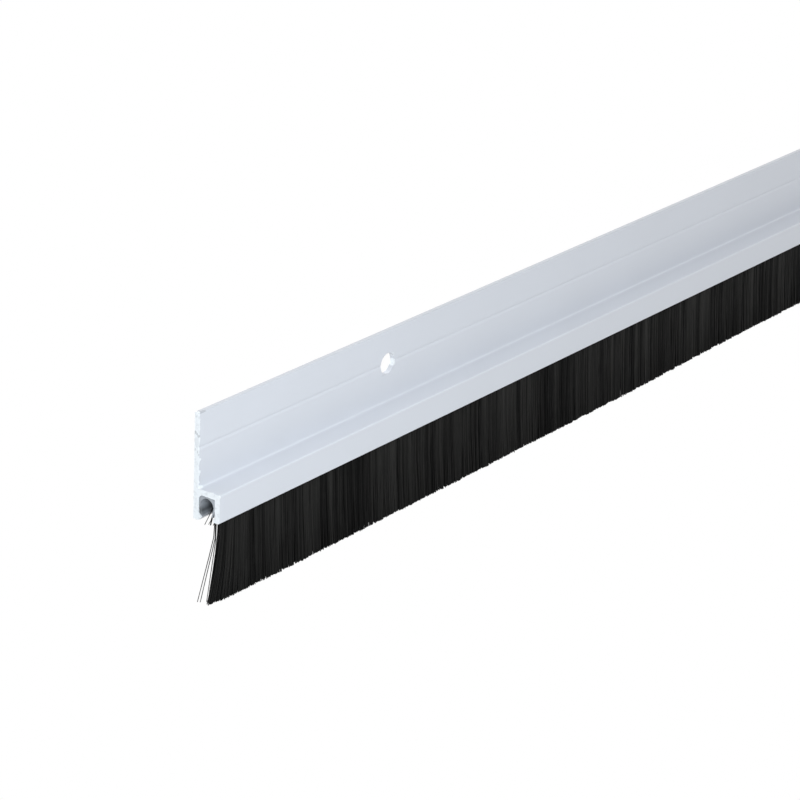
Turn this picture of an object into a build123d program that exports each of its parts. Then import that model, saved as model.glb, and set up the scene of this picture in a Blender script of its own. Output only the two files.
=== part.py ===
from build123d import *
import math
import os

# A brush seal for the foot of a door, in millimetres.
# X runs along the strip, the back face lies on y = 0 and the front looks towards -Y.
# The line of screw holes is at z = 0 and the brush hangs down.

# Carrier, one aluminium extrusion
length = 1000.0
flange_wall = 1.25
flange_rise = 8.5
leg_drop = 16.7
rear_leg_extra = 0.7
channel_depth = 7.45
channel_height = 6.85
channel_rear_wall = 1.5
channel_top_wall = 1.25
channel_front_wall = 1.25
lip_thickness = 0.95
front_lip_reach = 0.35
rear_lip_reach = 0.95
rear_lip_root = 1.8
rear_lip_rise = 1.05
rear_lip_foot = 0.1
rear_lip_radius = 0.25
rear_foot_radius = 0.6
edge_radius = 0.2
junction_radius = 0.5
channel_corner_radius = 0.35
cavity_rear_radius = 1.2

# Shallow V groove that guides the drill along the screw line
groove_width = 1.1
groove_depth = 0.12

# Screw holes
hole_radius = 2.65
hole_inset = 69.0
hole_count = 4

# Crimped backing strip, set in from the carrier's ends, and the wire that the bristles fold round
backing_sheet = 0.4
backing_clearance = 0.05
backing_setback = 0.1
wire_radius = 0.6
wire_recess = 1.6

# Bristle pile
pile_clearance = 0.05
rear_slot_clearance = 0.2
front_slot_clearance = 0.75
bristle_reach = 20.4
face_flare = 0.85
end_fan = 4.4
end_skew = 1.3
root_recess = 3.1
tip_pitch = 3.2
tip_ragged = 0.5
flute_pitch = 5.0
flute_width = 0.8

# Loose bristles at the near end
bristle_radius = 0.12

# Places on the carrier that follow from the sizes
half_length = length / 2
leg_bottom = -leg_drop
rear_leg_bottom = leg_bottom - rear_leg_extra
channel_top = leg_bottom + channel_height
cavity_top = channel_top - channel_top_wall
cavity_front = -channel_depth + channel_front_wall
cavity_rear = -channel_rear_wall
front_lip_top = leg_bottom + lip_thickness
slot_front = cavity_front + front_lip_reach
slot_rear = cavity_rear - rear_lip_reach
nose_z = rear_leg_bottom + rear_lip_rise
foot_y = cavity_rear - rear_lip_foot
hole_spacing = (length - 2 * hole_inset) / (hole_count - 1)

# The backing is centred in the cavity. Its crown is as wide as the cavity allows, and no
# higher than leaves room below it for the crimped legs.
brush_y = (cavity_front + cavity_rear) / 2
mouth_z = front_lip_top + backing_clearance
crown_room = cavity_top - backing_clearance - mouth_z
crown_outer = min((cavity_rear - cavity_front) / 2 - backing_clearance, 0.6 * crown_room)
crown_middle = crown_outer - backing_sheet / 2
crown_inner = crown_outer - backing_sheet
wire_z = cavity_top - backing_clearance - crown_outer

# The pile passes between the lips, close beside the rear one
fold_radius = crown_inner - pile_clearance
neck_rear = min(slot_rear, brush_y + fold_radius) - rear_slot_clearance
neck_front = max(
    min(slot_front + front_slot_clearance, neck_rear - 0.4 * (slot_rear - slot_front)),
    brush_y - fold_radius + rear_slot_clearance,
)
neck_half = (neck_rear - neck_front) / 2
pile_y = (neck_rear + neck_front) / 2
tip_z = leg_bottom - bristle_reach


def corner(sketch, across, up):
    """The corner of a section that lies nearest a point."""
    return sketch.vertices().sort_by_distance((across, up))[0]


def scatter(index, turn=0.0):
    """A fraction between 0 and 1 that jumps about from one index to the next."""
    return (index * 0.6180339887 + index * index * 0.0731 + turn) % 1.0


# The carrier's section is drawn once and runs the whole length of the strip
with BuildPart() as carrier:
    with BuildSketch(Plane.YZ.offset(-half_length)) as section:
        with Locations((0, flange_rise)):
            Rectangle(flange_wall, flange_rise - channel_top, align=(Align.MAX, Align.MAX))
        with Locations((0, channel_top)):
            Rectangle(channel_depth, channel_height, align=(Align.MAX, Align.MAX))
        with Locations((0, channel_top)):
            Rectangle(
                channel_rear_wall + rear_lip_reach,
                channel_top - rear_leg_bottom,
                align=(Align.MAX, Align.MAX),
            )
        with BuildLine():
            Polyline(
                (slot_front, rear_leg_bottom),
                (slot_front, front_lip_top),
                (cavity_front, front_lip_top),
                (cavity_front, cavity_top),
                (cavity_rear, cavity_top),
                (cavity_rear, rear_leg_bottom + rear_lip_root),
                (slot_rear, nose_z),
                (foot_y, rear_leg_bottom),
                close=True,
            )
        make_face(mode=Mode.SUBTRACT)
        with BuildLine():
            Polyline(
                (-flange_wall, groove_width / 2),
                (-flange_wall + groove_depth, 0),
                (-flange_wall, -groove_width / 2),
                close=True,
            )
        make_face(mode=Mode.SUBTRACT)
        fillet(corner(section, -flange_wall, channel_top), junction_radius)
        fillet(corner(section, -channel_depth, channel_top), channel_corner_radius)
        fillet(corner(section, cavity_rear, cavity_top), cavity_rear_radius)
        fillet(corner(section, slot_rear, nose_z), rear_lip_radius)
        fillet(corner(section, foot_y, rear_leg_bottom), rear_foot_radius)
        for across, up in (
            (0, flange_rise),
            (-flange_wall, flange_rise),
            (-channel_depth, leg_bottom),
            (0, rear_leg_bottom),
            (cavity_front, cavity_top),
            (slot_front, front_lip_top),
            (slot_front, leg_bottom),
        ):
            fillet(corner(section, across, up), edge_radius)
    extrude(amount=length)
    with BuildSketch(Plane.XZ):
        with GridLocations(hole_spacing, 0, hole_count, 1):
            Circle(hole_radius)
    extrude(amount=flange_wall, mode=Mode.SUBTRACT)

carrier.part.label = "carrier"

# The backing's crown is round inside and fills the cavity's upper corners outside. Its legs
# leave the crown where they point straight at the narrow mouth.
rear_crown_radius = min(cavity_rear_radius - backing_clearance, 0.9 * crown_outer)
mouth_drop = wire_z - mouth_z
mouth_wall = pile_clearance + backing_sheet / 2
rear_mouth = neck_rear + mouth_wall - brush_y
front_mouth = brush_y - neck_front + mouth_wall


def leg_lean(mouth):
    """How far below its middle, in degrees, the crown turns into a leg."""
    turn = math.atan2(mouth_drop, mouth)
    return math.degrees(turn - math.acos(min(1, crown_middle / math.hypot(mouth, mouth_drop))))


rear_lean = leg_lean(rear_mouth)
front_lean = leg_lean(front_mouth)

with BuildPart() as backing:
    with BuildSketch(Plane.YZ.offset(-half_length + backing_setback)) as fold:
        with Locations((brush_y, wire_z)):
            Rectangle(2 * crown_outer, crown_outer, align=(Align.CENTER, Align.MIN))
        for side, radius in ((-1, edge_radius), (1, rear_crown_radius)):
            fillet(corner(fold, brush_y + side * crown_outer, wire_z + crown_outer), radius)
        with Locations((brush_y, wire_z)):
            Circle(crown_middle, mode=Mode.SUBTRACT)
        with BuildLine():
            crown = CenterArc(
                (brush_y, wire_z), crown_middle, -rear_lean, 180 + rear_lean + front_lean
            )
            Line(crown @ 0, (brush_y + rear_mouth, mouth_z))
            Line(crown @ 1, (brush_y - front_mouth, mouth_z))
        trace(line_width=backing_sheet)
    extrude(amount=length - 2 * backing_setback)

backing.part.label = "brush_backing"

# The bristles near both ends have come out, so the pile and its wire stop short of the fold
pile_setback = backing_setback + root_recess
wire_setback = pile_setback + wire_recess

with BuildPart() as core_wire:
    with BuildSketch(Plane.YZ.offset(-half_length + wire_setback)):
        with Locations((brush_y, wire_z)):
            Circle(wire_radius)
    extrude(amount=length - 2 * wire_setback)

core_wire.part.label = "core_wire"

# Seen from the front the pile is a long band, with ends that fan out and ragged tips
root_half = half_length - pile_setback
tip_half = root_half + end_fan
fold_top = wire_z + crown_inner
tip_count = round(2 * tip_half / tip_pitch)
tip_step = 2 * tip_half / tip_count
tips = [
    (-tip_half + i * tip_step, tip_z + tip_ragged * scatter(i))
    for i in range(tip_count + 1)
]

# Flutes run down both faces of the pile, where the filaments gather into locks
flare_run = math.hypot(face_flare, bristle_reach)
flute_count = round(2 * root_half / flute_pitch)
flute_step = 2 * root_half / flute_count
flute_side = flute_width / math.sqrt(2)

# Seen from above, both ends of the pile fall back from the front face towards the rear one
front_tips = pile_y - neck_half - face_flare
tip_depth = 2 * (neck_half + face_flare)

with BuildPart() as pile:
    with BuildSketch(Plane.YZ.offset(-tip_half)):
        with Locations((brush_y, wire_z)):
            Circle(fold_radius)
        with Locations((pile_y, wire_z)):
            Rectangle(2 * neck_half, wire_z - leg_bottom, align=(Align.CENTER, Align.MAX))
        with BuildLine():
            Polyline(
                (pile_y - neck_half, leg_bottom),
                (pile_y + neck_half, leg_bottom),
                (pile_y + neck_half + face_flare, tip_z),
                (pile_y - neck_half - face_flare, tip_z),
                close=True,
            )
        make_face()
        with Locations((brush_y, wire_z)):
            Circle(wire_radius + pile_clearance, mode=Mode.SUBTRACT)
    extrude(amount=2 * tip_half)
    with BuildSketch(Plane.XZ):
        with BuildLine():
            Polyline(*tips, (root_half, fold_top), (-root_half, fold_top), close=True)
        make_face()
    extrude(amount=channel_depth, mode=Mode.INTERSECT)
    for side in (-1, 1):
        slope = Plane(
            origin=(0, pile_y + side * neck_half, leg_bottom),
            x_dir=(1, 0, 0),
            z_dir=(0, side * face_flare, -bristle_reach),
        )
        flutes = [
            ((i + 0.25 + 0.5 * scatter(i, side / 3)) * flute_step - root_half, 0)
            for i in range(flute_count)
        ]
        with BuildSketch(slope):
            with Locations(flutes):
                Rectangle(flute_side, flute_side, rotation=45)
    extrude(amount=flare_run, mode=Mode.SUBTRACT)
    with BuildSketch(Plane.XY.offset(tip_z)):
        for end in (-1, 1):
            with BuildLine():
                Polyline(
                    (end * tip_half, front_tips),
                    (end * (tip_half - end_skew * tip_depth), front_tips + tip_depth),
                    (end * tip_half, front_tips + tip_depth),
                    close=True,
                )
            make_face()
    extrude(amount=fold_top - tip_z, mode=Mode.SUBTRACT)

pile.part.label = "bristle_pile"


def pile_end(up):
    """Where the fanned near end of the pile lies along the strip, at a height."""
    share = (fold_top - up) / (fold_top - tip_z)
    return -root_half - share * end_fan


# Loose bristles leave the pile's near end beside it. Each line gives how far below the wire
# it starts, how far below the front leg it ends, how far its tip splays from the pile, where
# it lies across the neck from -1 to 1, and how far it bows back towards the pile.
loose = [
    (2.6, 18.9, 3.3, -0.7, 0.9),
    (2.6, 19.3, 2.2, -0.3, 0.6),
    (2.6, 19.8, 1.0, 0.2, 0.2),
    (1.0, 1.6, 3.4, -0.25, 0.0),
    (1.4, 1.7, 2.0, -0.65, 0.0),
]
loose_gap = bristle_radius + pile_clearance

with BuildPart() as loose_bristles:
    for start, drop, splay, across, bow in loose:
        root_z = wire_z - start
        end_z = leg_bottom - drop
        lie_y = pile_y + across * neck_half
        root = Vector(pile_end(root_z) - loose_gap, lie_y, root_z)
        tip = Vector(pile_end(end_z) - loose_gap - splay, lie_y, end_z)
        with BuildLine() as run:
            if bow:
                ThreePointArc(root, (root + tip) / 2 + Vector(bow, 0, 0), tip)
            else:
                Line(root, tip)
        with BuildSketch(Plane(origin=root, z_dir=run.line % 0)):
            RegularPolygon(bristle_radius, 6)
        sweep()

loose_bristles.part.label = "loose_bristles"

os.makedirs("parts", exist_ok=True)
export_step(carrier.part, "parts/carrier.step")
export_step(backing.part, "parts/brush_backing.step")
export_step(core_wire.part, "parts/core_wire.step")
export_step(pile.part, "parts/bristle_pile.step")
export_step(loose_bristles.part, "parts/loose_bristles.step")
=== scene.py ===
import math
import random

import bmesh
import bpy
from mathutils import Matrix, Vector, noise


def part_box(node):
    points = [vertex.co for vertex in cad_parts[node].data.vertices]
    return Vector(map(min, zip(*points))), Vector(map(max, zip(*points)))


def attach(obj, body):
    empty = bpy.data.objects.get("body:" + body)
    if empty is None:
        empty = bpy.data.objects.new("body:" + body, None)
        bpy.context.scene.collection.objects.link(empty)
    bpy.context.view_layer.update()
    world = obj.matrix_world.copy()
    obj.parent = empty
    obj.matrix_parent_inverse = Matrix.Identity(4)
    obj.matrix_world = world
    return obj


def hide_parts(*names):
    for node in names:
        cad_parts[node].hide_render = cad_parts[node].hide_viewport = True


bl_info = {
    "name": "Door brush seal",
    "version": (1, 0, 0),
    "blender": (4, 5, 0),
    "location": "3D View > Sidebar > Brush Seal",
    "description": "A white door strip with a black bristle brush, and the stage it is shown on",
    "category": "Add Mesh",
}

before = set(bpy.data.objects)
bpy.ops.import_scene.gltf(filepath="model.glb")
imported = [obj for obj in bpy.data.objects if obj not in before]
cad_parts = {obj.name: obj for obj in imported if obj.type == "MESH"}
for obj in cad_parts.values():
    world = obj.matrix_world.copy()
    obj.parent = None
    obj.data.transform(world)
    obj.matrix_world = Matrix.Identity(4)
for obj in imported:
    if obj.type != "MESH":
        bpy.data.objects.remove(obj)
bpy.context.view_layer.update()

MM = 0.001
BODY = "root"

# Places on the strip, read from the frame
STRIP_LOW, STRIP_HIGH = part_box("carrier")
BACKING_LOW, BACKING_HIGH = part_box("brush_backing")
WIRE_LOW, WIRE_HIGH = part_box("core_wire")
PILE_LOW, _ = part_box("bristle_pile")
WIRE_CENTRE = (WIRE_LOW + WIRE_HIGH) / 2
# Just above the bottom of the front leg
LEG_BOTTOM = STRIP_LOW.z + 0.8 * MM
# Where the first bristles leave the fold. The last ones leave it as far from the far end.
ROOT_START = STRIP_LOW.x + 3.65 * MM

# Places on the carrier's section that its box doesn't give: the flange's front face, the top
# of the channel, and the middle and the half sizes of the cavity in it
FLANGE_FRONT = -1.25 * MM
CHANNEL_TOP = -9.85 * MM
CAVITY_MIDDLE = -13.83 * MM
CAVITY_HALF_WIDTH = 2.38 * MM
CAVITY_HALF_HEIGHT = 2.77 * MM
# The leg's front and the flange's top edge are all that lies past these
LEG_FRONT = STRIP_LOW.y + 0.2 * MM
TOP_EDGE = STRIP_HIGH.z - 0.18 * MM


class PileSizes(bpy.types.PropertyGroup):
    """Sizes and colours of the bristles."""

    filament: bpy.props.FloatProperty(
        name="Filament",
        description="Diameter of one bristle",
        default=0.27 * MM,
        unit="LENGTH",
    )
    neck: bpy.props.FloatProperty(
        name="Neck",
        description="Thickness of the pile where it leaves the channel",
        default=2.45 * MM,
        unit="LENGTH",
    )
    flare: bpy.props.FloatProperty(
        name="Flare",
        description="How far each face of the pile spreads from the channel to the tips",
        default=0.85 * MM,
        unit="LENGTH",
    )
    per_mm: bpy.props.FloatProperty(
        name="Bristles per mm",
        description="Bristles in the outermost row of a face, for each millimetre of strip",
        default=6.0,
    )
    lock: bpy.props.FloatProperty(
        name="Lock",
        description="Usual width of a lock, in which tips lean together",
        default=1.9 * MM,
        unit="LENGTH",
    )
    ragged: bpy.props.FloatProperty(
        name="Ragged",
        description="How much the trimmed tips differ in length",
        default=0.1 * MM,
        unit="LENGTH",
    )
    colour: bpy.props.FloatVectorProperty(
        name="Bristle colour",
        description="Colour of the black filament",
        default=(0.0074, 0.0071, 0.0066),
        subtype="COLOR",
        min=0,
        max=1,
    )
    seed: bpy.props.IntProperty(
        name="Seed",
        description="Start of the random numbers for the bristles",
        default=11,
    )


class MetalFinish(bpy.types.PropertyGroup):
    """Colours of the coated carrier and the steel inside it."""

    coat: bpy.props.FloatVectorProperty(
        name="Coat",
        description="Colour of the white powder coat",
        default=(0.752, 0.766, 0.809),
        subtype="COLOR",
        min=0,
        max=1,
    )
    bare: bpy.props.FloatVectorProperty(
        name="Bare metal",
        description="Colour of the sawn aluminium at the ends",
        default=(0.965, 0.985, 1.0),
        subtype="COLOR",
        min=0,
        max=1,
    )
    steel: bpy.props.FloatVectorProperty(
        name="Steel",
        description="Colour of the galvanised backing and the wire",
        default=(0.40, 0.42, 0.45),
        subtype="COLOR",
        min=0,
        max=1,
    )


class StageSizes(bpy.types.PropertyGroup):
    """The floor, the lamps and the camera."""

    floor_drop: bpy.props.FloatProperty(
        name="Floor drop",
        description="How far the floor lies below the screw line",
        default=0.45,
        unit="LENGTH",
    )
    lens: bpy.props.FloatProperty(
        name="Lens",
        description="Focal length of the camera, in millimetres",
        default=135.0,
    )
    near_power: bpy.props.FloatProperty(
        name="Near lamp",
        description="Power of the small softbox beside the near end, in watts",
        default=2.9,
    )
    front_power: bpy.props.FloatProperty(
        name="Front lamp",
        description="Power of the softbox in front, in watts",
        default=1.0,
    )
    far_power: bpy.props.FloatProperty(
        name="Far lamp",
        description="Power of the small softbox beside the far end, in watts",
        default=1.0,
    )
    top_power: bpy.props.FloatProperty(
        name="Top lamp",
        description="Power of the softbox overhead, in watts",
        default=2.0,
    )
    back_power: bpy.props.FloatProperty(
        name="Back lamp",
        description="Power of the softbox behind, in watts",
        default=8.0,
    )
    ambient: bpy.props.FloatProperty(
        name="Ambient",
        description="Strength of the even light from all round",
        default=0.3,
    )


def feed(tree, socket, value):
    """Sets an input to a value, or links another node's output to it."""
    if isinstance(value, bpy.types.NodeSocket):
        tree.links.new(value, socket)
    else:
        socket.default_value = value


def add_node(tree, kind, settings=(), **inputs):
    """A new node, with settings on the node itself and values or outputs on its inputs."""
    node = tree.nodes.new(kind)
    for name, value in dict(settings).items():
        setattr(node, name, value)
    for name, value in inputs.items():
        feed(tree, node.inputs[name.replace("_", " ")], value)
    return node


def maths(tree, operation, *values):
    """What a Math node makes of its values."""
    node = add_node(tree, "ShaderNodeMath", {"operation": operation})
    for socket, value in zip(node.inputs, values):
        feed(tree, socket, value)
    return node.outputs["Value"]


def vector_maths(tree, operation, *values):
    """A Vector Math node that works on its values."""
    node = add_node(tree, "ShaderNodeVectorMath", {"operation": operation})
    for socket, value in zip(node.inputs, values):
        feed(tree, socket, value)
    return node


def scaled(tree, colour, level):
    """A colour times a level."""
    node = vector_maths(tree, "SCALE", colour)
    feed(tree, node.inputs["Scale"], level)
    return node.outputs["Vector"]


def map_range(tree, value, low, high, to_low=0.0, to_high=1.0):
    """A value carried from one range to another, and held within it."""
    node = add_node(
        tree,
        "ShaderNodeMapRange",
        Value=value,
        From_Min=low,
        From_Max=high,
        To_Min=to_low,
        To_Max=to_high,
    )
    return node.outputs["Result"]


def between(tree, share, low, high):
    """A share from 0 to 1, carried to a range."""
    return map_range(tree, share, 0.0, 1.0, low, high)


# The inputs and the output of a Mix node for each kind of value
MIX_SOCKETS = {"FLOAT": (2, 3, 0), "VECTOR": (4, 5, 1)}


def mix(tree, kind, share, first, second):
    """What lies between two values of one kind, by a share from 0 to 1."""
    node = add_node(tree, "ShaderNodeMix", {"data_type": kind}, Factor=share)
    first_input, second_input, output = MIX_SOCKETS[kind]
    feed(tree, node.inputs[first_input], first)
    feed(tree, node.inputs[second_input], second)
    return node.outputs[output]


# What the grain is on average
GRAIN_MEAN = 0.5


def grain(tree, place, per_metre, detail=2.0, roughness=0.5):
    """Uneven values from 0 to 1, about so many to the metre."""
    node = add_node(
        tree,
        "ShaderNodeTexNoise",
        Vector=place,
        Scale=per_metre,
        Detail=detail,
        Roughness=roughness,
    )
    return node.outputs["Fac"]


def grey_ramp(tree, share, stops):
    """A grey level from a ramp of places and levels."""
    ramp = add_node(tree, "ShaderNodeValToRGB", Fac=share)
    elements = ramp.color_ramp.elements
    for position, _ in stops[1:-1]:
        elements.new(position)
    for element, (position, level) in zip(elements, stops):
        element.position = position
        element.color = (level, level, level, 1)
    return ramp.outputs["Color"]


def bumped(tree, height, strength, distance):
    """A normal that follows a height."""
    node = add_node(
        tree, "ShaderNodeBump", Strength=strength, Distance=distance, Height=height
    )
    return node.outputs["Normal"]


def object_place(tree):
    """Where a point lies on its piece."""
    return tree.nodes.new("ShaderNodeTexCoord").outputs["Object"]


def split_place(tree, place):
    """The X, Y and Z of a place."""
    return add_node(tree, "ShaderNodeSeparateXYZ", Vector=place).outputs


def new_material(name):
    """A material with a Principled BSDF and nothing else."""
    material = bpy.data.materials.new(name)
    material.use_nodes = True
    tree = material.node_tree
    return material, tree, tree.nodes["Principled BSDF"]


def new_group(name, output, **inputs):
    """A shader node group with one output. Returns its tree, what it is given by name, and
    the socket for its result."""
    tree = bpy.data.node_groups.new(name, "ShaderNodeTree")
    for label, value in inputs.items():
        kind = "NodeSocketVector" if isinstance(value, tuple) else "NodeSocketFloat"
        socket = tree.interface.new_socket(
            label.replace("_", " "), in_out="INPUT", socket_type=kind
        )
        socket.default_value = value
    tree.interface.new_socket(output, in_out="OUTPUT", socket_type="NodeSocketFloat")
    given = tree.nodes.new("NodeGroupInput").outputs
    return tree, given, tree.nodes.new("NodeGroupOutput").inputs[output]


def group_value(tree, group, **inputs):
    """What a node group puts out for given inputs."""
    return add_node(tree, "ShaderNodeGroup", {"node_tree": group}, **inputs).outputs[0]


def drawn_lines_group():
    """Fine lines along the strip, as a die or a rolling mill leaves them."""
    tree, given, result = new_group("Drawn lines", "Height", Lines_per_metre=2500.0, Stretch=0.004)
    x, y, z = split_place(tree, object_place(tree))
    short_x = maths(tree, "MULTIPLY", x, given["Stretch"])
    stretched = add_node(tree, "ShaderNodeCombineXYZ", X=short_x, Y=y, Z=z).outputs["Vector"]
    height = grain(tree, stretched, given["Lines per metre"], detail=3.0, roughness=0.6)
    feed(tree, result, height)
    return tree


# Between these values of the grain the bare end reaches from this share of its depth to all of
# it. Its edge fades out over this far on either side.
SPOT_VALUES = (0.5, 0.72)
LEAST_REACH = 0.3
CUT_EDGE = 0.01 * MM


def cut_end_group():
    """A mask for the sawn ends of a strip: 1 on the cut, with an uneven edge beside it."""
    tree, given, result = new_group(
        "Cut end", "Mask", Half_length=0.5, Depth=0.0004, Spots_per_metre=700.0
    )
    place = object_place(tree)
    x, _, _ = split_place(tree, place)
    past = maths(tree, "SUBTRACT", maths(tree, "ABSOLUTE", x), given["Half length"])
    spots = grain(tree, place, given["Spots per metre"])
    share = map_range(tree, spots, *SPOT_VALUES, LEAST_REACH)
    gap = maths(tree, "ADD", past, maths(tree, "MULTIPLY", share, given["Depth"]))
    feed(tree, result, map_range(tree, gap, -CUT_EDGE, CUT_EDGE))
    return tree


def inside_group():
    """A mask for the inside of a channel that runs along X: 1 inside a box across Y and Z."""
    tree, given, result = new_group(
        "Inside channel",
        "Mask",
        Middle_Y=0.0,
        Middle_Z=0.0,
        Half_width=0.002,
        Half_height=0.002,
    )
    _, y, z = split_place(tree, object_place(tree))
    masks = []
    for side, middle, half in ((y, "Middle Y", "Half width"), (z, "Middle Z", "Half height")):
        away = maths(tree, "ABSOLUTE", maths(tree, "SUBTRACT", side, given[middle]))
        masks.append(maths(tree, "LESS_THAN", away, given[half]))
    feed(tree, result, maths(tree, "MULTIPLY", *masks))
    return tree


# How far the painted shade reaches out from the corner below the flange, and how light the coat
# is on the way, as shares of that reach and levels
CORNER_SHADE_REACH = 12.5 * MM
CORNER_STOPS = (
    (0.0, 0.89),
    (0.12, 0.903),
    (0.24, 0.927),
    (0.42, 0.959),
    (0.62, 0.982),
    (0.92, 1.0),
)
# How much lighter the channel's top is than the flange, as painted light, how far out from the
# flange it is so, the level of the leg's front, and the painted shade on the flange's top edge
LEDGE_PAINTED_LIGHT = 1.035
LEDGE_START = 0.5 * MM
LEG_LEVEL = 1.0
TOP_EDGE_PAINTED_SHADE = 0.89


def corner_shade_group():
    """How light the coat is by its distance from a corner that runs along X, with painted shade
    darkest in the corner. The channel's top gets painted light, the flange's top edge painted
    shade, and the front of the leg a tone of its own."""
    tree, given, result = new_group(
        "Corner tone", "Tone", Corner_Y=0.0, Corner_Z=0.0, Front_Y=-1.0, Edge_Z=1.0
    )
    _, y, z = split_place(tree, object_place(tree))
    squares = []
    for side, corner in ((y, "Corner Y"), (z, "Corner Z")):
        away = maths(tree, "ABSOLUTE", maths(tree, "SUBTRACT", side, given[corner]))
        squares.append(maths(tree, "POWER", away, 2.0))
    distance = maths(tree, "SQRT", maths(tree, "ADD", *squares))
    corner_shaded = grey_ramp(tree, maths(tree, "MULTIPLY", distance, 1 / CORNER_SHADE_REACH), CORNER_STOPS)
    ledge = map_range(tree, y, FLANGE_FRONT - LEDGE_START, FLANGE_FRONT, LEDGE_PAINTED_LIGHT, 1.0)
    lit_and_shaded = maths(tree, "MULTIPLY", corner_shaded, ledge)
    in_front = maths(tree, "LESS_THAN", y, given["Front Y"])
    above = maths(tree, "GREATER_THAN", z, given["Edge Z"])
    toned = mix(tree, "FLOAT", in_front, lit_and_shaded, LEG_LEVEL)
    feed(tree, result, mix(tree, "FLOAT", above, toned, TOP_EDGE_PAINTED_SHADE))
    return tree


# Shares of its reach between which a mark fades out
MARK_EDGE = (1.15, 0.85)


def mark_group():
    """A mask for one mark: 1 within an ellipsoid whose edge is uneven."""
    tree, given, result = new_group(
        "Mark", "Mask", Middle=(0.0, 0.0, 0.0), Reach=(0.001, 0.001, 0.001), Uneven=0.8
    )
    place = object_place(tree)
    offset = vector_maths(tree, "SUBTRACT", place, given["Middle"]).outputs["Vector"]
    share = vector_maths(tree, "DIVIDE", offset, given["Reach"]).outputs["Vector"]
    away = vector_maths(tree, "LENGTH", share).outputs["Value"]
    even = maths(tree, "SUBTRACT", grain(tree, place, per_metre=2600.0), GRAIN_MEAN)
    total = maths(tree, "MULTIPLY_ADD", even, given["Uneven"], away)
    feed(tree, result, map_range(tree, total, *MARK_EDGE))
    return tree


# Marks near the near end. Each line gives, in millimetres, how far in from the end it lies, its
# Y and its Z, then its reach along each of these, and then how strong it is. Spurs are bare
# metal, and those on the wall of a hole also stand for painted light; stains are darker.
SPURS_AND_PAINTED_LIGHT = (
    ((0.1, -1.3, -2.95), (0.75, 0.5, 0.5), 1.0),
    ((0.3, -1.4, -9.55), (1.2, 0.5, 0.45), 0.75),
    ((0.1, -7.4, -10.1), (0.5, 0.5, 0.4), 1.0),
    # These two on the first hole's wall are bare metal as painted light: a bright patch, and a
    # lift of its shaded top
    ((71.6, -0.6, -0.5), (0.6, 0.9, 1.0), 1.0),
    ((70.9, -0.6, 1.7), (0.9, 0.9, 0.9), 0.4),
)
STAINS = (
    ((0.0, -0.25, 3.55), (0.5, 0.36, 0.36), 0.3),
    ((0.0, -0.67, 3.22), (0.5, 0.34, 0.34), 0.26),
    ((0.0, -1.08, 2.88), (0.5, 0.3, 0.32), 0.28),
    ((0.0, -0.6, 1.3), (0.5, 0.65, 1.2), 0.1),
    ((0.0, -0.35, -0.5), (0.5, 0.14, 0.32), 0.25),
    ((0.0, -0.9, -1.05), (0.5, 0.14, 0.35), 0.25),
    ((0.0, -1.15, -1.6), (0.5, 0.12, 0.25), 0.2),
    ((1.2, -1.25, 8.35), (1.1, 0.6, 0.25), 0.22),
    ((70.6, -0.6, -1.7), (1.1, 0.9, 0.8), 0.14),
    ((68.0, -1.25, -2.6), (1.2, 0.3, 0.3), 0.06),
)


def strongest_mark(tree, group, marks):
    """One value for many marks: the strongest of them at each place."""
    strongest = 0.0
    for (along, y, z), reach, strength in marks:
        mask = group_value(
            tree,
            group,
            Middle=(STRIP_LOW.x + along * MM, y * MM, z * MM),
            Reach=[side * MM for side in reach],
        )
        strongest = maths(tree, "MAXIMUM", strongest, maths(tree, "MULTIPLY", mask, strength))
    return strongest


# The coat drifts between these levels and between these values of roughness, and inside the
# channel it loses this much of its level, as painted shade
COAT_LEVELS = (0.975, 1.02)
COAT_ROUGHNESS = (0.40, 0.50)
HOLLOW_PAINTED_SHADE = 0.55
# The sawn metal has these levels between these values of its smear, and one roughness
SMEAR_VALUES = (0.34, 0.5)
SMEAR_LEVELS = (0.86, 1.0)
BARE_ROUGHNESS = 0.55
# How deep the die's lines and the marks of the saw are, beside the coat's pebbles
LINE_DEPTH = 0.5
SAW_DEPTH = 6.0


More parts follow.
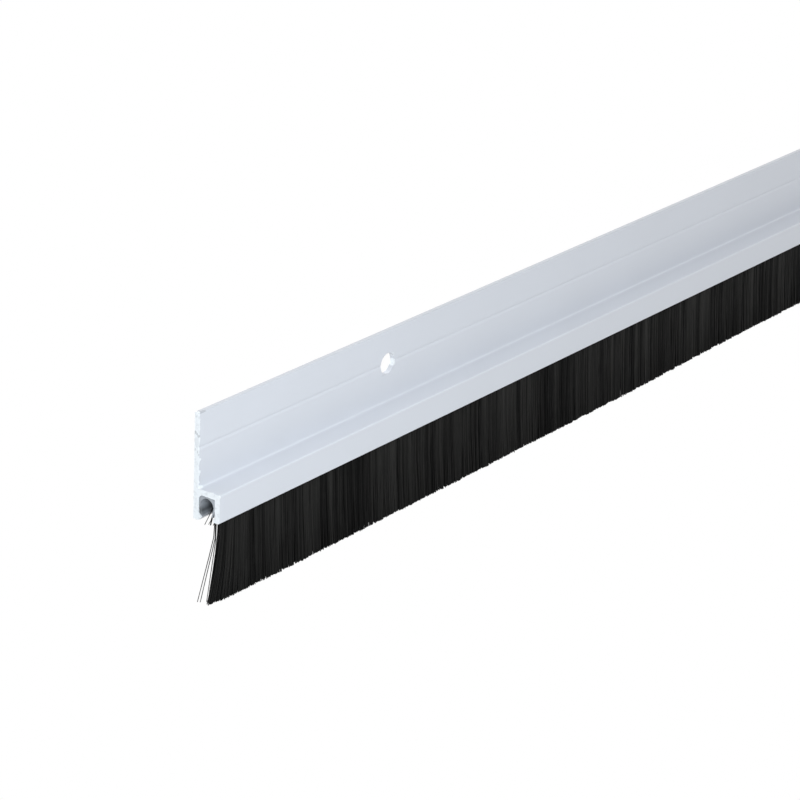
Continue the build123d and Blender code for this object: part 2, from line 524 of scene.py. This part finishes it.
def coat_material(finish, lines, cut_end, inside, corner_shade, mark):
    """White powder coat, satin and slightly pebbled. It is bare where the strip was sawn, and
    bare with painted light on the wall of a hole. It has painted shade inside the channel, in the
    corner below the flange and on the flange's top edge, and painted light on the channel's top."""
    material, tree, shader = new_material("white_powder_coat")
    place = object_place(tree)
    cut = group_value(tree, cut_end, Half_length=STRIP_HIGH.x, Depth=0.8 * MM)
    hollow = group_value(
        tree,
        inside,
        Middle_Y=WIRE_CENTRE.y,
        Middle_Z=CAVITY_MIDDLE,
        Half_width=CAVITY_HALF_WIDTH,
        Half_height=CAVITY_HALF_HEIGHT,
    )
    # Painted shade in the corner below the flange and on the flange's top edge, and painted light
    # on the channel's top
    tone = group_value(
        tree,
        corner_shade,
        Corner_Y=FLANGE_FRONT,
        Corner_Z=CHANNEL_TOP,
        Front_Y=LEG_FRONT,
        Edge_Z=TOP_EDGE,
    )
    # Bare where sawn and at the spurs; the spurs on the hole's wall are also painted light
    sawn = maths(tree, "MAXIMUM", cut, strongest_mark(tree, mark, SPURS_AND_PAINTED_LIGHT))
    clean = maths(tree, "SUBTRACT", 1.0, strongest_mark(tree, mark, STAINS))
    drift = grain(tree, place, per_metre=40.0)
    shade = between(tree, drift, *COAT_LEVELS)
    # Painted shade inside the channel
    hollow_shaded = maths(tree, "MULTIPLY_ADD", hollow, -HOLLOW_PAINTED_SHADE, shade)
    coat = scaled(tree, finish.coat, maths(tree, "MULTIPLY", hollow_shaded, tone))
    smear = grain(tree, place, per_metre=900.0, detail=4.0, roughness=0.65)
    bare = scaled(tree, finish.bare, map_range(tree, smear, *SMEAR_VALUES, *SMEAR_LEVELS))
    colour = mix(tree, "VECTOR", sawn, coat, bare)
    feed(tree, shader.inputs["Base Color"], scaled(tree, colour, clean))
    drawn = group_value(tree, lines, Lines_per_metre=900.0, Stretch=0.006)
    pebbles = grain(tree, place, per_metre=2600.0)
    skin = maths(tree, "MULTIPLY_ADD", drawn, LINE_DEPTH, pebbles)
    saw = maths(tree, "MULTIPLY", smear, sawn)
    height = maths(tree, "MULTIPLY_ADD", saw, SAW_DEPTH, skin)
    normal = bumped(tree, height, strength=0.25, distance=0.012 * MM)
    feed(tree, shader.inputs["Normal"], normal)
    rough = mix(tree, "FLOAT", sawn, between(tree, drift, *COAT_ROUGHNESS), BARE_ROUGHNESS)
    feed(tree, shader.inputs["Roughness"], rough)
    return material


# Painted shade on the steel from the bottom of the fold up: the places where this starts and
# ends, and shares of the way with their levels
BOTTOM_SHADE_LOW = -15.4 * MM
BOTTOM_SHADE_HIGH = -13.2 * MM
BOTTOM_SHADE_STOPS = (
    (0.0, 0.5),
    (0.14, 0.34),
    (0.27, 0.27),
    (0.45, 0.5),
    (0.64, 0.7),
    (0.77, 0.9),
    (0.95, 1.0),
)
# How far into the fold its painted shade grows darker, and its levels there and at its mouth,
# where it is painted light
FOLD_SHADE_DEPTH = 6 * MM
FOLD_SHADE_LEVELS = (0.5, 1.2)
# The levels of the fold's cut ends, painted shade at the back of the channel and painted light at
# the front, and how far in from the end they reach
CUT_BACK_SHADE = 0.9
CUT_FRONT_LIGHT = 1.15
CUT_REACH = 0.02 * MM
# The levels of the zinc's spangles, and how much smoother and rougher than usual it is by the
# drawn lines
SPANGLE_LEVELS = (0.8, 1.1)
SMOOTHER = 0.08
ROUGHER = 0.1
STEEL_METALLIC = 0.3


def steel_material(name, finish, lines, roughness):
    """Dull galvanised steel, drawn or rolled along the strip, with painted shade deep in the fold
    and towards the bottom where the bristles leave it, and painted light at its mouth and on the
    front of its cut ends."""
    material, tree, shader = new_material(name)
    place = object_place(tree)
    x, y, z = split_place(tree, place)
    along = maths(tree, "ABSOLUTE", x)
    # Painted shade deeper in the fold, with painted light at its mouth, and painted shade towards
    # its bottom
    mouth = map_range(tree, along, BACKING_HIGH.x - FOLD_SHADE_DEPTH, BACKING_HIGH.x, *FOLD_SHADE_LEVELS)
    bottom_shade = grey_ramp(tree, map_range(tree, z, BOTTOM_SHADE_LOW, BOTTOM_SHADE_HIGH), BOTTOM_SHADE_STOPS)
    # Painted shade on the back of the cut ends and painted light on their front
    on_cut = maths(tree, "GREATER_THAN", along, BACKING_HIGH.x - CUT_REACH)
    depth = mix(tree, "FLOAT", on_cut, mouth, CUT_BACK_SHADE)
    front_light_share = map_range(tree, y, BACKING_HIGH.y, BACKING_LOW.y)
    level = mix(
        tree,
        "FLOAT",
        maths(tree, "MULTIPLY", front_light_share, on_cut),
        maths(tree, "MULTIPLY", depth, bottom_shade),
        CUT_FRONT_LIGHT,
    )
    spangle = add_node(tree, "ShaderNodeTexVoronoi", Vector=place, Scale=900.0)
    shade = between(tree, spangle.outputs["Distance"], *SPANGLE_LEVELS)
    dull = maths(tree, "MULTIPLY", level, shade)
    feed(tree, shader.inputs["Base Color"], scaled(tree, finish.steel, dull))
    drawn = group_value(tree, lines, Lines_per_metre=5200.0, Stretch=0.01)
    rough = between(tree, drawn, roughness - SMOOTHER, roughness + ROUGHER)
    feed(tree, shader.inputs["Roughness"], rough)
    normal = bumped(tree, drawn, strength=0.3, distance=0.02 * MM)
    feed(tree, shader.inputs["Normal"], normal)
    feed(tree, shader.inputs["Metallic"], STEEL_METALLIC)
    return material


# How light bristles of the darkest and the lightest shade are, and the painted shade on all of
# them, darkest at the tips and lightest where they leave the channel
SHADE_LEVELS = (0.05, 2.9)
TIP_SHADE_LEVELS = (0.62, 1.1)
BRISTLE_ROUGHNESS = (0.5, 0.7)
BRISTLE_SPECULAR = 0.1


def bristle_material(sizes):
    """Black filament with a soft sheen. Each bristle carries its own shade, and painted shade
    darkens all of them towards the tips.
    """
    material, tree, shader = new_material("black_bristle")
    own = add_node(tree, "ShaderNodeAttribute", {"attribute_name": "shade"}).outputs["Fac"]
    place = object_place(tree)
    _, _, z = split_place(tree, place)
    tone = between(tree, own, *SHADE_LEVELS)
    # Painted shade, darker towards the tips
    tip_shade = map_range(tree, z, PILE_LOW.z, LEG_BOTTOM, *TIP_SHADE_LEVELS)
    level = maths(tree, "MULTIPLY", tone, tip_shade)
    feed(tree, shader.inputs["Base Color"], scaled(tree, sizes.colour, level))
    rough = between(tree, grain(tree, place, per_metre=300.0), *BRISTLE_ROUGHNESS)
    feed(tree, shader.inputs["Roughness"], rough)
    fine = grain(tree, place, per_metre=9000.0, detail=1.0)
    normal = bumped(tree, fine, strength=0.2, distance=0.01 * MM)
    feed(tree, shader.inputs["Normal"], normal)
    feed(tree, shader.inputs["Specular IOR Level"], BRISTLE_SPECULAR)
    return material


def dress(node, material):
    """Gives a carried-over node a material, and keeps its mesh as it is."""
    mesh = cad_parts[node].data
    mesh.materials.clear()
    mesh.materials.append(material)


def finished_piece(name, mesh, material, slot, *replaced):
    """Adds an object at the origin that rides on the strip."""
    piece = bpy.data.objects.new(name, mesh)
    bpy.context.scene.collection.objects.link(piece)
    mesh.materials.clear()
    mesh.materials.append(material)
    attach(piece, BODY)
    if replaced:
        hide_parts(*replaced)


# A strand is square in section, so each of its points gives four places of the mesh, and its
# two end caps have four more each. Its tip has this share of its radius.
STRAND_SIDES = 4
CAP_PLACES = 2 * STRAND_SIDES
TIP_SHARE = 0.8


def strands_mesh(name, strands, radius):
    """One mesh of many thin strands. A strand is its points and its own shade."""
    curve = bpy.data.curves.new(name, "CURVE")
    curve.dimensions = "3D"
    curve.bevel_depth = radius
    curve.bevel_resolution = 0
    curve.use_fill_caps = True
    for points, _ in strands:
        spline = curve.splines.new("POLY")
        spline.points.add(len(points) - 1)
        for place, point in zip(spline.points, points):
            place.co = (*point, 1.0)
        spline.points[-1].radius = TIP_SHARE
    holder = bpy.data.objects.new(name, curve)
    mesh = bpy.data.meshes.new_from_object(holder)
    bpy.data.objects.remove(holder)
    bpy.data.curves.remove(curve)
    # The mesh holds the end caps first, from the last strand back, and then the walls
    shades = []
    for _, shade in reversed(strands):
        shades.extend([shade] * CAP_PLACES)
    for points, shade in strands:
        shades.extend([shade] * (STRAND_SIDES * len(points)))
    layer = mesh.attributes.new("shade", "FLOAT", "POINT")
    layer.data.foreach_set("value", shades)
    return mesh


# Rows of the pile: where each lies across, from the front face to the back, and its fullness
ROWS = ((-1.0, 1.2), (-0.88, 1.0), (-0.7, 0.8), (-0.4, 0.6), (0.1, 0.5), (0.6, 0.6), (1.0, 0.9))
# The pile is made in this many stretches, one piece each
STRETCHES = 5
# Each row behind the front one starts further in from the ends, up to twice this
ROW_SETBACK = 1.0 * MM
# Roots lie this far up in the fold. Each bristle is shifted by up to this share of a step.
ROOT_RISE = 0.3 * MM
SHIFT = 0.35

# How far tips lean out past an end in the middle row, how much more or less in the outer rows,
# and how soon this fades. Away from the near end all tips come to lean a little towards +X.
FAN = 3.3 * MM
FAN_ACROSS = 1.8 * MM
FAN_FADE = 4.5 * MM
SWEEP = 1.2 * MM
SWEEP_FADE = 40 * MM

# The height of the trimmed tips over the solid's lowest, and how far, how slowly and from where
# it wanders up and down
TRIM_HEIGHT = 0.02 * MM
TRIM_WANDER = 0.43 * MM
TRIM_RUN = 400 * MM
TRIM_START = 5 * MM

# Bands of lighter and darker bristles, partly their own tone and partly painted sheen and shade
# of the locks: their width in millimetres, strength and own turn
BANDS = ((0.9, 0.5, 17.0), (2.4, 1.25, 5.0), (6.0, 0.6, 29.0), (22.0, 0.95, 41.0))
# The mean shade and how much single bristles differ, along the strip and what the near end adds,
# which for the mean shade is painted light
MEAN_SHADE = 0.385
NEAR_END_PAINTED_LIGHT = 0.17
SHADE_SCATTER = 0.03
SHADE_SCATTER_END = 0.2
SHADE_END_FADE = 30 * MM
# How much fainter all bands but the finest are at the near end
BAND_CALM = 0.65
# How much darker the very last bristles are, as painted shade
LAST_PAINTED_SHADE = 0.3
LAST_FADE = 2 * MM

# The edges of locks wander by up to this share of their width, at this pace. A lock's tips are
# drawn part of the way to its middle, and its own turn carries them along the strip and out
# from the face.
LOCK_WANDER = 0.45
LOCK_PACE = 0.37
LOCK_PULL = 0.2
TURN_LEAN = 0.45 * MM
TURN_SPREAD = 0.18 * MM
# How much single bristles differ in lean, in place across, in spread and in bow, and in length
# as a share of the raggedness
LEAN_SCATTER = 0.18 * MM
DEPTH_SCATTER = 0.06 * MM
SPREAD_SCATTER = 0.1 * MM
BOW_SCATTER = 0.12 * MM
RAGGED_SCATTER = 0.6

# Bristles near an end are curved through more points, at these shares of their height, and
# they stand closer
END_STRETCH = 12 * MM
END_SHARES = (0.0, 0.3, 0.65, 1.0)
PLAIN_SHARES = (0.0, 0.5, 1.0)
CURL = 1.8
CROWDING = 0.6
CROWDING_FADE = 7 * MM


def lock_lean(along, width):
    """How far a tip is drawn sideways to the middle of its lock, and the lock's own number."""
    place = Vector((along / width * LOCK_PACE, 3.1, 0.0))
    wander = LOCK_WANDER * width * noise.noise(place)
    number = math.floor((along + wander) / width)
    middle = (number + 0.5) * width - wander
    return middle - along, number


def end_fan(near, far, across):
    """How far a tip leans along the strip: out past both ends, most of all in the front rows,
    and a little one way between them."""
    reach = FAN - FAN_ACROSS * across
    fan = reach * (math.exp(-far / FAN_FADE) - math.exp(-near / FAN_FADE))
    return fan + SWEEP * (1 - math.exp(-near / SWEEP_FADE))


def trim_line(x):
    """The height at which the tips are trimmed, which wanders a little along the strip."""
    turn = math.tau * (x - STRIP_LOW.x + TRIM_START) / TRIM_RUN
    return PILE_LOW.z + TRIM_HEIGHT - TRIM_WANDER * math.tanh(3 * math.sin(turn))


def lock_shade(x, across, near, chance):
    """How light a bristle is, from 0 to 1. Neighbours share bands of several widths, partly their
    own tone and partly painted sheen and shade. Towards the near end all get painted light, the
    bands are fainter, single bristles differ more, and the last are darker, as painted shade."""
    end = math.exp(-near / SHADE_END_FADE)
    # Painted light towards the near end
    level = MEAN_SHADE + NEAR_END_PAINTED_LIGHT * end
    level += chance.gauss(0, SHADE_SCATTER + SHADE_SCATTER_END * end)
    # Painted shade on the very last bristles
    level -= LAST_PAINTED_SHADE * math.exp(-near / LAST_FADE)
    finest = BANDS[0][0]
    # Bands, partly own tone and partly painted sheen and shade
    for width, strength, turn in BANDS:
        calm = 1.0 if width == finest else 1 - BAND_CALM * end
        level += calm * strength * noise.noise(Vector((x / (width * MM), across, turn)))
    return min(1.0, max(0.0, level))


def pile_middle(sizes):
    """Where the middle of the pile lies, from its front tips back."""
    return PILE_LOW.y + sizes.flare + sizes.neck / 2


def grow_row(sizes, chance, across, per_mm, first, last):
    """Bristles of one row, between two places along the strip. across is -1 at the front face
    of the pile and 1 at its back, where the rows start further in from both ends."""
    row_start = ROOT_START + ROW_SETBACK * (1 + across)
    neck_half = sizes.neck / 2 - sizes.filament / 2
    middle = pile_middle(sizes)
    root_z = BACKING_LOW.z + ROOT_RISE
    step = MM / per_mm
    strands = []
    along = max(first, row_start) + chance.random() * step
    while along < min(last, -row_start):
        x = along + chance.uniform(-SHIFT, SHIFT) * step
        near = x - row_start
        far = -row_start - x
        edge = min(near, far)
        pull, number = lock_lean(x, sizes.lock)
        # Locks and rows are read this far apart in the noise, so that each has its own turn
        turn = noise.noise(Vector((number * 1.7, across * 2.3, 8.0)))
        lean = end_fan(near, far, across) + LOCK_PULL * pull + TURN_LEAN * turn
        lean += chance.gauss(0, LEAN_SCATTER)
        depth = neck_half * across + chance.gauss(0, DEPTH_SCATTER)
        spread = sizes.flare * across + TURN_SPREAD * turn + chance.gauss(0, SPREAD_SCATTER)
        tip_z = trim_line(x) + sizes.ragged * (turn + chance.gauss(0, RAGGED_SCATTER))
        # A bristle keeps its length, so the more it leans the higher its tip lies
        tip_z += lean * lean / (2 * (root_z - tip_z))
        bow = chance.gauss(0, BOW_SCATTER)
        points = [
            (
                x + lean * share ** CURL + bow * math.sin(math.pi * share),
                middle + depth + spread * share,
                root_z + (tip_z - root_z) * share,
            )
            for share in (END_SHARES if edge < END_STRETCH else PLAIN_SHARES)
        ]
        strands.append((points, lock_shade(x, across, near, chance)))
        along += step / (1 + CROWDING * math.exp(-edge / CROWDING_FADE))
    return strands


def pile_core_mesh(sizes):
    """The dark inside of the pile, behind the rows of bristles and short of their tips."""
    inset = 0.35 * MM
    neck = sizes.neck / 2 - inset
    tip = sizes.neck / 2 + sizes.flare - 2 * inset
    top = BACKING_LOW.z + 0.4 * MM
    bottom = PILE_LOW.z + 1.3 * MM
    root_end = ROOT_START + ROW_SETBACK
    tip_end = root_end - 5.2 * MM
    skew = 1.3
    y = pile_middle(sizes)
    body = bmesh.new()
    ring = [
        body.verts.new((root_end, y - neck, top)),
        body.verts.new((root_end + skew * 2 * neck, y + neck, top)),
        body.verts.new((tip_end + skew * 2 * tip, y + tip, bottom)),
        body.verts.new((tip_end, y - tip, bottom)),
    ]
    near = body.faces.new(ring)
    out = bmesh.ops.extrude_face_region(body, geom=[near])
    for item in out["geom"]:
        if isinstance(item, bmesh.types.BMVert):
            item.co.x = -item.co.x
    bmesh.ops.recalc_face_normals(body, faces=body.faces)
    mesh = bpy.data.meshes.new("pile_core")
    body.to_mesh(mesh)
    body.free()
    return mesh


class PaintCarrier(bpy.types.Operator):
    """Coats the carrier white and leaves its sawn ends bare"""

    bl_idname = "brush_seal.paint_carrier"
    bl_label = "Paint carrier"

    def execute(self, context):
        material = coat_material(
            context.scene.brush_seal_finish,
            drawn_lines_group(),
            cut_end_group(),
            inside_group(),
            corner_shade_group(),
            mark_group(),
        )
        dress("carrier", material)
        return {"FINISHED"}


class FinishSteel(bpy.types.Operator):
    """Gives the folded backing and the wire their galvanised finish"""

    bl_idname = "brush_seal.finish_steel"
    bl_label = "Finish steel"

    def execute(self, context):
        finish = context.scene.brush_seal_finish
        lines = bpy.data.node_groups["Drawn lines"]
        dress("brush_backing", steel_material("galvanised_strip", finish, lines, 0.6))
        dress("core_wire", steel_material("drawn_wire", finish, lines, 0.35))
        return {"FINISHED"}


class GrowPile(bpy.types.Operator):
    """Grows the bristles of the pile, in stretches along the strip"""

    bl_idname = "brush_seal.grow_pile"
    bl_label = "Grow pile"

    def execute(self, context):
        sizes = context.scene.brush_seal_pile
        material = bristle_material(sizes)
        core = pile_core_mesh(sizes)
        finished_piece("pile_core", core, material, "bristle", "bristle_pile")
        run = -2 * ROOT_START
        for number in range(STRETCHES):
            chance = random.Random(sizes.seed + number)
            low = ROOT_START + run * number / STRETCHES
            high = ROOT_START + run * (number + 1) / STRETCHES
            strands = []
            for across, fullness in ROWS:
                strands += grow_row(sizes, chance, across, sizes.per_mm * fullness, low, high)
            name = f"bristles_{number + 1}"
            mesh = strands_mesh(name, strands, sizes.filament / 2)
            finished_piece(name, mesh, material, "bristle")
        return {"FINISHED"}


# Stray bristles at the near end. Each point gives, in millimetres, how far in from the end it
# lies, how far in front of the pile's middle, and how far below the front leg.
STRAYS = (
    ((2.6, 0.33, -0.2), (2.4, 0.38, 1.7), (2.1, 0.42, 5.0), (0.5, 0.53, 9.1), (-3.5, 0.72, 18.9)),
    ((2.7, 0.47, -0.2), (2.5, 0.53, 1.6), (2.4, 0.58, 5.3), (1.1, 0.67, 8.9), (-2.7, 0.88, 19.2)),
    ((2.8, 0.67, -0.3), (2.6, 0.72, 1.6), (2.3, 0.83, 5.7), (1.5, 0.92, 9.3), (-0.9, 1.22, 19.7)),
    ((3.0, 0.88, -0.3), (2.9, 0.92, 1.6), (2.6, 1.03, 6.2), (1.8, 1.12, 9.6), (-0.5, 1.42, 19.9)),
    ((1.9, 0.22, -2.3), (0.9, 0.28, -1.2), (-1.0, 0.33, 0.8)),
    ((1.9, 0.83, -3.2), (1.2, 0.88, -1.7), (0.2, 0.92, 1.2)),
    ((2.1, 0.83, -3.0), (1.4, 0.88, -1.4), (0.45, 0.92, 1.2)),
    ((1.3, 0.72, -1.3), (0.6, 0.78, 0.2), (-0.25, 0.83, 0.8)),
    ((1.8, 1.33, -0.8), (1.3, 1.38, 0.5), (0.7, 1.42, 1.2)),
)
# They are thinner than the pile's, and dark and light in turn
STRAY_THINNESS = 0.8
STRAY_SHADES = (0.2, 0.8)


class AddStrays(bpy.types.Operator):
    """Adds the loose bristles at the near end"""

    bl_idname = "brush_seal.add_strays"
    bl_label = "Add strays"

    def execute(self, context):
        sizes = context.scene.brush_seal_pile
        y = pile_middle(sizes)
        strands = []
        for index, path in enumerate(STRAYS):
            points = [
                (STRIP_LOW.x + along * MM, y - forward * MM, LEG_BOTTOM - down * MM)
                for along, forward, down in path
            ]
            strands.append((points, STRAY_SHADES[index % 2]))
        mesh = strands_mesh("stray_bristles", strands, STRAY_THINNESS * sizes.filament / 2)
        material = bpy.data.materials["black_bristle"]
        finished_piece("stray_bristles", mesh, material, "bristle", "loose_bristles")
        return {"FINISHED"}


# The softboxes. Each line gives a lamp's name, its place from the strip's near end, its width,
# its colour, and the place along the strip that it is turned to.
COOL = (0.85, 0.933, 1.0)
PLAIN = (1.0, 1.0, 1.0)
LAMPS = (
    ("near", (-0.35, -0.35, 0.25), 0.3, COOL, 0.1),
    ("front", (0.3, -1.3, 0.15), 1.2, PLAIN, 0.1),
    ("far", (1.1, -0.35, 0.25), 0.3, PLAIN, 0.85),
    ("top", (0.2, -0.1, 1.2), 1.2, PLAIN, 0.1),
    ("back", (0.2, 1.0, 0.8), 1.2, PLAIN, 0.1),
)

# The camera, solved from the photograph: its place from the strip's near end, the way it looks
# and the way it takes for up
CAMERA_PLACE = (-466.06 * MM, -395.78 * MM, 264.86 * MM)
CAMERA_LOOK = (0.74684, 0.54488, -0.38124)
CAMERA_UP = (0.28129, 0.26063, 0.92355)

# The floor: half its width, its colour and its roughness
FLOOR_HALF = 6.0
FLOOR_COLOUR = (0.85, 0.85, 0.85, 1.0)
FLOOR_ROUGHNESS = 0.9
WHITE = (1.0, 1.0, 1.0, 1.0)


class SetStage(bpy.types.Operator):
    """Sets the pale floor, the soft lamps and the camera"""

    bl_idname = "brush_seal.set_stage"
    bl_label = "Set stage"

    def execute(self, context):
        stage = context.scene.brush_seal_stage
        self.lay_floor(stage)
        self.light_world(context, stage)
        for name, offset, width, colour, along in LAMPS:
            power = getattr(stage, f"{name}_power")
            self.hang_lamp(f"{name}_softbox", offset, width, power, colour, along)
        self.set_camera(context, stage)
        context.scene.view_settings.view_transform = "Standard"
        return {"FINISHED"}

    def show_white(self, tree, lit, white, end):
        """What the camera, mirrors and glass see of a backdrop is plain white, and what lights
        the surfaces is what is lit."""
        path = tree.nodes.new("ShaderNodeLightPath").outputs
        mirrored = maths(tree, "MAXIMUM", path["Is Camera Ray"], path["Is Glossy Ray"])
        seen = maths(tree, "MAXIMUM", mirrored, path["Is Transmission Ray"])
        mixed = add_node(tree, "ShaderNodeMixShader", Fac=seen)
        feed(tree, mixed.inputs[1], lit.outputs[0])
        feed(tree, mixed.inputs[2], white.outputs[0])
        feed(tree, end.inputs["Surface"], mixed.outputs[0])

    def lay_floor(self, stage):
        body = bmesh.new()
        bmesh.ops.create_grid(body, x_segments=1, y_segments=1, size=FLOOR_HALF)
        bmesh.ops.translate(body, verts=body.verts, vec=(0, 0, -stage.floor_drop))
        mesh = bpy.data.meshes.new("floor")
        body.to_mesh(mesh)
        body.free()
        material, tree, shader = new_material("floor_white")
        feed(tree, shader.inputs["Base Color"], FLOOR_COLOUR)
        feed(tree, shader.inputs["Roughness"], FLOOR_ROUGHNESS)
        white = add_node(tree, "ShaderNodeEmission", Color=WHITE, Strength=1.0)
        self.show_white(tree, shader, white, tree.nodes["Material Output"])
        mesh.materials.append(material)
        floor = bpy.data.objects.new("floor", mesh)
        bpy.context.scene.collection.objects.link(floor)

    def light_world(self, context, stage):
        world = bpy.data.worlds.new("studio")
        world.use_nodes = True
        context.scene.world = world
        tree = world.node_tree
        even = tree.nodes["Background"]
        feed(tree, even.inputs["Color"], WHITE)
        feed(tree, even.inputs["Strength"], stage.ambient)
        white = add_node(tree, "ShaderNodeBackground", Color=WHITE, Strength=1.0)
        self.show_white(tree, even, white, tree.nodes["World Output"])

    def hang_lamp(self, name, offset, width, power, colour, along):
        """A square softbox, placed from the strip's near end and turned towards the strip, at
        a place along it."""
        near = Vector((STRIP_LOW.x, 0, 0))
        place = near + Vector(offset)
        target = near + Vector((along, 0, 0))
        lamp = bpy.data.lights.new(name, "AREA")
        lamp.size = width
        lamp.energy = power
        lamp.color = colour
        holder = bpy.data.objects.new(name, lamp)
        holder.location = place
        holder.rotation_euler = (target - place).to_track_quat("-Z", "Y").to_euler()
        bpy.context.scene.collection.objects.link(holder)

    def set_camera(self, context, stage):
        """The camera looks down the strip from beside its near end, slightly rolled."""
        camera = bpy.data.cameras.new("camera")
        camera.lens = stage.lens
        camera.sensor_width = 36
        camera.clip_end = 20
        holder = bpy.data.objects.new("camera", camera)
        look = Vector(CAMERA_LOOK).normalized()
        right = look.cross(Vector(CAMERA_UP)).normalized()
        up = right.cross(look)
        turn = Matrix((right, up, -look)).transposed().to_4x4()
        place = Vector((STRIP_LOW.x, 0, 0)) + Vector(CAMERA_PLACE)
        holder.matrix_world = Matrix.Translation(place) @ turn
        context.scene.collection.objects.link(holder)
        context.scene.camera = holder


class BrushSealPanel(bpy.types.Panel):
    """Lists the steps that dress the brush seal"""

    bl_idname = "VIEW3D_PT_brush_seal"
    bl_label = "Brush Seal"
    bl_space_type = "VIEW_3D"
    bl_region_type = "UI"
    bl_category = "Brush Seal"

    def draw(self, context):
        layout = self.layout
        for group in GROUPS:
            settings = getattr(context.scene, group)
            box = layout.box()
            for name in settings.__annotations__:
                box.prop(settings, name)
        for step in STEPS:
            layout.operator(step.bl_idname)


GROUPS = {
    "brush_seal_pile": PileSizes,
    "brush_seal_finish": MetalFinish,
    "brush_seal_stage": StageSizes,
}
STEPS = (PaintCarrier, FinishSteel, GrowPile, AddStrays, SetStage)


def register():
    for kind in (*GROUPS.values(), *STEPS, BrushSealPanel):
        bpy.utils.register_class(kind)
    for name, kind in GROUPS.items():
        setattr(bpy.types.Scene, name, bpy.props.PointerProperty(type=kind))


def unregister():
    for name in GROUPS:
        delattr(bpy.types.Scene, name)
    for kind in (BrushSealPanel, *reversed(STEPS), *reversed(GROUPS.values())):
        bpy.utils.unregister_class(kind)


def main():
    register()
    bpy.ops.brush_seal.paint_carrier()
    bpy.ops.brush_seal.finish_steel()
    bpy.ops.brush_seal.grow_pile()
    bpy.ops.brush_seal.add_strays()
    bpy.ops.brush_seal.set_stage()


if __name__ == "__main__":
    main()
